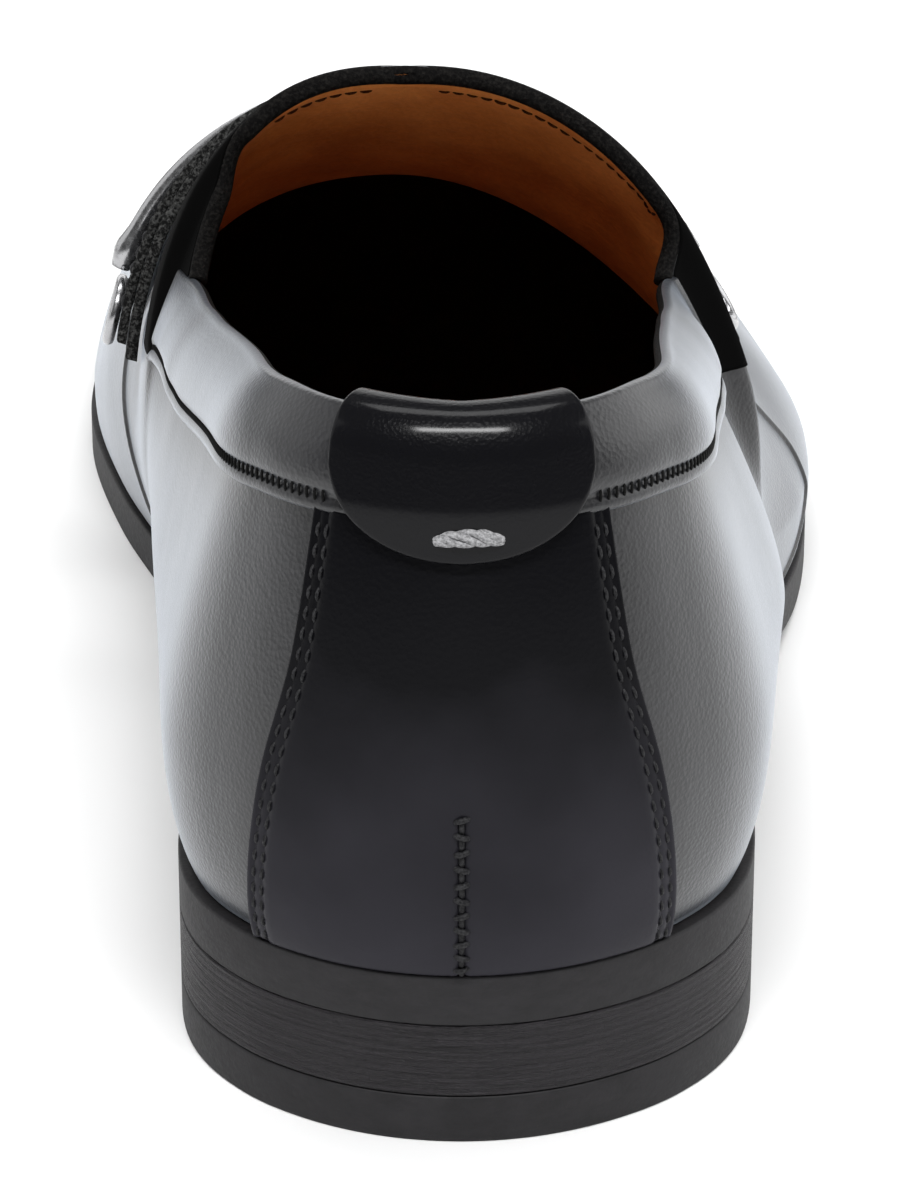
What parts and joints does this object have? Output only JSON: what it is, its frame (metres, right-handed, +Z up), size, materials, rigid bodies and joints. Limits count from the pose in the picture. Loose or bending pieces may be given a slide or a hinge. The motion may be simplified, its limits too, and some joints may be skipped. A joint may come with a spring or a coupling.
{
  "type": "bit loafer",
  "caption": "Black leather slip-on loafer with a stacked heel, a strap and metal bit over the instep, a collar band and a round heel tab.",
  "frame": {"origin": "middle of the heel's tread, on the floor", "axes": "+Z up from the floor, +Y from heel to toe, -X to the inner (big toe) side of a right foot"},
  "size_m": [0.1094, 0.3041, 0.0901],
  "materials": {
    "upper": "smooth burnished black",
    "back_counter": "glossy black",
    "collar_band": "padded, satin black",
    "heel_tab": "glossy grained black",
    "strap_base": "black with a raw edge",
    "strap_top": "black with a raw edge",
    "outsole": "matt dark grey",
    "heel_stack": "matt dark grey, fine level lines",
    "top_lift": "matt dark grey",
    "insole": "tan lining leather",
    "bit": "polished nickel"
  },
  "bodies": {
    "root": {"upper": "upper", "back_counter": "back_counter", "collar_band": "collar_band", "heel_tab": "heel_tab", "strap_base": "strap_base", "strap_top": "strap_top", "outsole": "outsole", "heel_stack": "heel_stack", "top_lift": "top_lift", "insole": "insole", "bit": "bit"}
  },
  "joints": []
}
